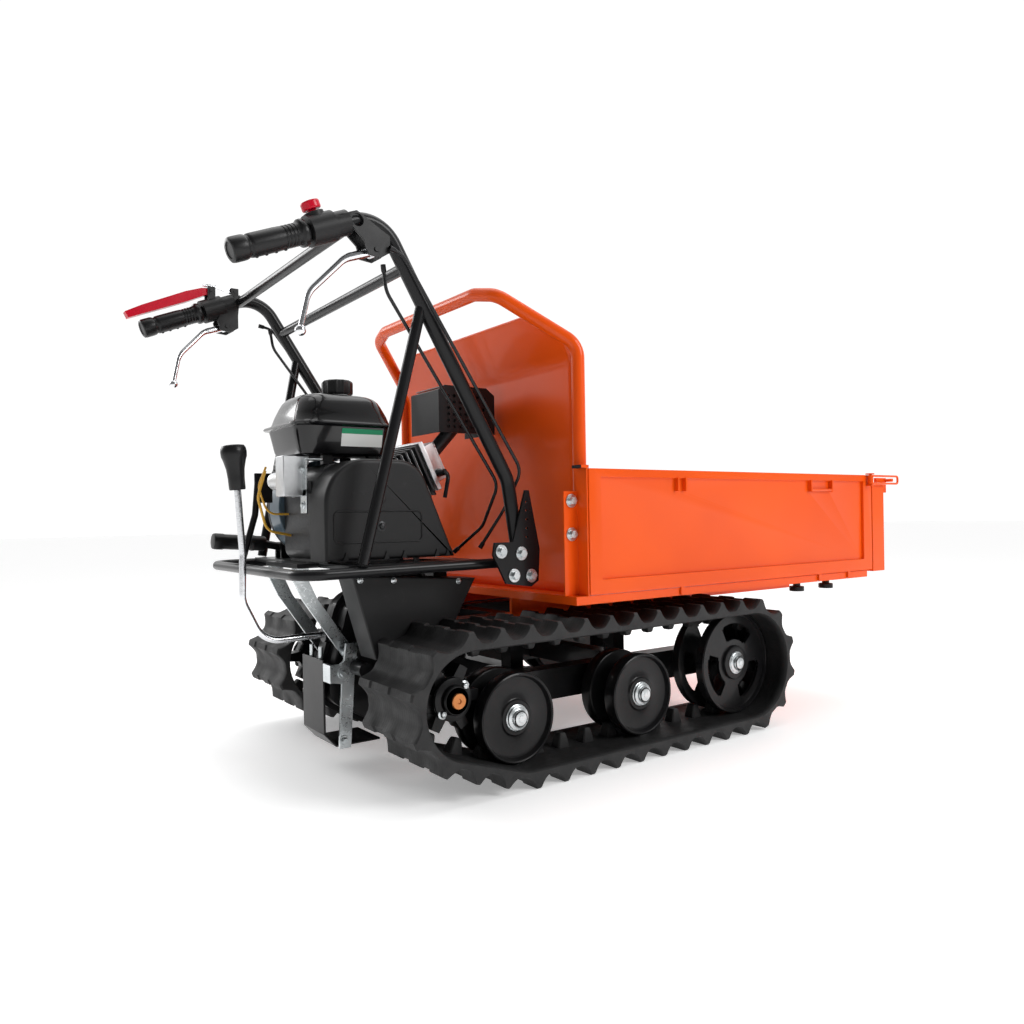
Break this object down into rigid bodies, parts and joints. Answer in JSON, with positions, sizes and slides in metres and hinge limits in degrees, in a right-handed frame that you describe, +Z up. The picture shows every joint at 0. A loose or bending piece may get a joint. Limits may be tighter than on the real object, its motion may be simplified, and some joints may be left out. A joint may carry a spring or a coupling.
{
  "type": "tracked power wheelbarrow",
  "caption": "Walk-behind tracked power wheelbarrow with a tipping bed, sliding sides, a drop gate, engine, gearbox, handlebars and control levers.",
  "frame": {"origin": "on the ground under the middle of the machine, centred between the tracks", "axes": "+X to the front of the bed, +Y to the operator's left, +Z up"},
  "size_m": [1.6563, 0.746, 0.957],
  "materials": {
    "black_paint": "semi-gloss powder coat",
    "black_plastic": "satin moulded",
    "cable": "sheathed cable",
    "cast_alloy": "as cast",
    "crimson_plastic": "gloss",
    "engine_black": "painted",
    "fan_blue": "satin",
    "gloss_black": "gloss enamel",
    "grip_rubber": "glossy",
    "lead": "insulated wire",
    "orange_paint": "semi-gloss powder coat",
    "polished_alloy": "polished",
    "track_rubber": "matt",
    "zinc": "zinc plated"
  },
  "bodies": {
    "chassis": {"chassis_frame": "black_paint", "track_beams": "black_paint", "right_track": "track_rubber", "left_track": "track_rubber", "gearbox": "black_paint", "gearbox_guard": "black_paint", "support_straps": "zinc", "upper_belt_cover": "black_plastic", "lower_belt_cover": "black_plastic", "drive_belt": "grip_rubber", "engine_block": "engine_black", "cylinder_head": "cast_alloy", "muffler": "engine_black", "muffler_guard": "black_plastic", "fuel_tank": "gloss_black", "carburettor": "cast_alloy", "fan_housing": "fan_blue", "recoil_cover": "black_plastic", "ignition_leads": "lead", "handlebar_frame": "black_paint", "gusset_plates": "black_paint", "side_rails": "black_paint", "grips": "grip_rubber", "control_housings": "black_plastic", "control_cables": "cable", "chassis_bolts": "zinc"},
    "bed": {"bed_floor": "orange_paint", "headboard": "orange_paint", "headboard_tube": "orange_paint", "corner_posts": "orange_paint", "bed_bolts": "zinc"},
    "gear_lever": {"gear_lever": "polished_alloy", "gear_knob": "black_plastic"},
    "right_side_panel": {"right_side_panel": "orange_paint"},
    "left_side_panel": {"left_side_panel": "orange_paint"},
    "front_gate": {"front_gate": "orange_paint"},
    "right_latch": {"right_latch": "orange_paint"},
    "left_latch": {"left_latch": "orange_paint"},
    "right_lock_knob_rear": {"right_lock_knob_rear": "black_plastic"},
    "right_lock_knob_front": {"right_lock_knob_front": "black_plastic"},
    "left_lock_knob_rear": {"left_lock_knob_rear": "black_plastic"},
    "left_lock_knob_front": {"left_lock_knob_front": "black_plastic"},
    "right_steering_lever": {"right_steering_lever": "polished_alloy"},
    "left_steering_lever": {"left_steering_lever": "polished_alloy"},
    "drive_lever": {"drive_lever": "crimson_plastic"},
    "throttle_lever": {"throttle_lever": "polished_alloy"},
    "stop_button": {"stop_button": "crimson_plastic"},
    "tip_lever": {"tip_lever": "grip_rubber"},
    "fuel_cap": {"fuel_cap": "black_plastic"},
    "starter_handle": {"starter_handle": "black_plastic"},
    "right_sprocket": {"right_sprocket": "black_paint"},
    "left_sprocket": {"left_sprocket": "black_paint"},
    "right_rear_wheel": {"right_rear_wheel": "black_paint"},
    "right_front_wheel": {"right_front_wheel": "black_paint"},
    "left_rear_wheel": {"left_rear_wheel": "black_paint"},
    "left_front_wheel": {"left_front_wheel": "black_paint"},
    "right_idler": {"right_idler": "black_paint"},
    "left_idler": {"left_idler": "black_paint"},
    "engine_pulley": {"engine_pulley": "cast_alloy"},
    "gearbox_pulley": {"gearbox_pulley": "cast_alloy"}
  },
  "joints": [
    {"name": "bed_tip", "type": "hinge", "parent": "chassis", "child": "bed", "pos_m": [0.34, 0, 0.272], "axis": [0, 1, 0], "range_deg": [0, 40]},
    {"name": "right_side_slide", "type": "slide", "parent": "bed", "child": "right_side_panel", "axis": [0, -1, 0], "range_m": [0, 0.12]},
    {"name": "left_side_slide", "type": "slide", "parent": "bed", "child": "left_side_panel", "axis": [0, 1, 0], "range_m": [0, 0.12]},
    {"name": "gate_drop", "type": "hinge", "parent": "bed", "child": "front_gate", "pos_m": [0.744, 0, 0.299], "axis": [0, 1, 0], "range_deg": [0, 90]},
    {"name": "right_latch_swing", "type": "hinge", "parent": "right_side_panel", "child": "right_latch", "pos_m": [0.712, -0.367, 0.53], "axis": [0, 0, -1], "range_deg": [0, 100]},
    {"name": "left_latch_swing", "type": "hinge", "parent": "left_side_panel", "child": "left_latch", "pos_m": [0.712, 0.367, 0.53], "axis": [0, 0, 1], "range_deg": [0, 100]},
    {"name": "right_lock_knob_rear_turn", "type": "hinge", "parent": "bed", "child": "right_lock_knob_rear", "pos_m": [0.515, -0.299, 0.279], "axis": [0, 0, 1], "range_deg": [0, 720]},
    {"name": "right_lock_knob_front_turn", "type": "hinge", "parent": "bed", "child": "right_lock_knob_front", "pos_m": [0.63, -0.299, 0.279], "axis": [0, 0, 1], "range_deg": [0, 720]},
    {"name": "right_steering_squeeze", "type": "hinge", "parent": "chassis", "child": "right_steering_lever", "pos_m": [-0.56, -0.277, 0.882], "axis": [0, 1, 0], "range_deg": [0, 20], "stiffness_Nm_per_rad": 2},
    {"name": "right_sprocket_turn", "type": "hinge", "parent": "chassis", "child": "right_sprocket", "pos_m": [-0.438, -0.276, 0.157], "axis": [0, 1, 0], "continuous": true},
    {"name": "right_rear_wheel_turn", "type": "hinge", "parent": "chassis", "child": "right_rear_wheel", "pos_m": [-0.316, -0.276, 0.111], "axis": [0, 1, 0], "continuous": true},
    {"name": "right_front_wheel_turn", "type": "hinge", "parent": "chassis", "child": "right_front_wheel", "pos_m": [-0.014, -0.276, 0.111], "axis": [0, 1, 0], "continuous": true},
    {"name": "right_idler_turn", "type": "hinge", "parent": "chassis", "child": "right_idler", "pos_m": [0.27, -0.276, 0.139], "axis": [0, 1, 0], "continuous": true},
    {"name": "left_lock_knob_rear_turn", "type": "hinge", "parent": "bed", "child": "left_lock_knob_rear", "pos_m": [0.515, 0.299, 0.279], "axis": [0, 0, 1], "range_deg": [0, 720]},
    {"name": "left_lock_knob_front_turn", "type": "hinge", "parent": "bed", "child": "left_lock_knob_front", "pos_m": [0.63, 0.299, 0.279], "axis": [0, 0, 1], "range_deg": [0, 720]},
    {"name": "left_steering_squeeze", "type": "hinge", "parent": "chassis", "child": "left_steering_lever", "pos_m": [-0.622, 0.277, 0.868], "axis": [0, 1, 0], "range_deg": [0, 17], "stiffness_Nm_per_rad": 2},
    {"name": "left_sprocket_turn", "type": "hinge", "parent": "chassis", "child": "left_sprocket", "pos_m": [-0.438, 0.276, 0.157], "axis": [0, 1, 0], "continuous": true},
    {"name": "left_rear_wheel_turn", "type": "hinge", "parent": "chassis", "child": "left_rear_wheel", "pos_m": [-0.316, 0.276, 0.111], "axis": [0, 1, 0], "continuous": true},
    {"name": "left_front_wheel_turn", "type": "hinge", "parent": "chassis", "child": "left_front_wheel", "pos_m": [-0.014, 0.276, 0.111], "axis": [0, 1, 0], "continuous": true},
    {"name": "left_idler_turn", "type": "hinge", "parent": "chassis", "child": "left_idler", "pos_m": [0.27, 0.276, 0.139], "axis": [0, 1, 0], "continuous": true},
    {"name": "drive_lever_pull", "type": "hinge", "parent": "chassis", "child": "drive_lever", "pos_m": [-0.652, 0.277, 0.94], "axis": [0, 1, 0], "range_deg": [0, 18]},
    {"name": "throttle_turn", "type": "hinge", "parent": "chassis", "child": "throttle_lever", "pos_m": [-0.6, 0.281, 0.946], "axis": [0, 1, 0], "range_deg": [0, 50]},
    {"name": "stop_press", "type": "slide", "parent": "chassis", "child": "stop_button", "axis": [0.3746, 0, -0.9272], "range_m": [0, 0.004], "stiffness_N_per_m": 400},
    {"name": "gear_select", "type": "hinge", "parent": "chassis", "child": "gear_lever", "pos_m": [-0.556, -0.05, 0.248], "axis": [1, 0, 0], "range_deg": [-15, 15]},
    {"name": "tip_release", "type": "hinge", "parent": "chassis", "child": "tip_lever", "pos_m": [-0.545, 0.165, 0.404], "axis": [0, 1, 0], "range_deg": [0, 25]},
    {"name": "cap_turn", "type": "hinge", "parent": "chassis", "child": "fuel_cap", "pos_m": [-0.511, -0.035, 0.69], "axis": [0, 0, 1], "range_deg": [0, 90]},
    {"name": "starter_pull", "type": "slide", "parent": "chassis", "child": "starter_handle", "axis": [0, 0, 1], "range_m": [0, 0.45], "stiffness_N_per_m": 8},
    {"name": "engine_pulley_turn", "type": "hinge", "parent": "chassis", "child": "engine_pulley", "pos_m": [-0.5, -0.158, 0.48], "axis": [0, 1, 0], "continuous": true},
    {"name": "gearbox_pulley_turn", "type": "hinge", "parent": "chassis", "child": "gearbox_pulley", "pos_m": [-0.445, -0.158, 0.296], "axis": [0, 1, 0], "continuous": true}
  ],
  "couplings": [
    {"joint": "engine_pulley_turn", "follows": "gearbox_pulley_turn", "ratio": 1.3684},
    {"joint": "right_rear_wheel_turn", "follows": "right_sprocket_turn", "ratio": 1.1013},
    {"joint": "right_front_wheel_turn", "follows": "right_sprocket_turn", "ratio": 1.1013},
    {"joint": "right_idler_turn", "follows": "right_sprocket_turn", "ratio": 0.81308},
    {"joint": "left_rear_wheel_turn", "follows": "left_sprocket_turn", "ratio": 1.1013},
    {"joint": "left_front_wheel_turn", "follows": "left_sprocket_turn", "ratio": 1.1013},
    {"joint": "left_idler_turn", "follows": "left_sprocket_turn", "ratio": 0.81308}
  ]
}
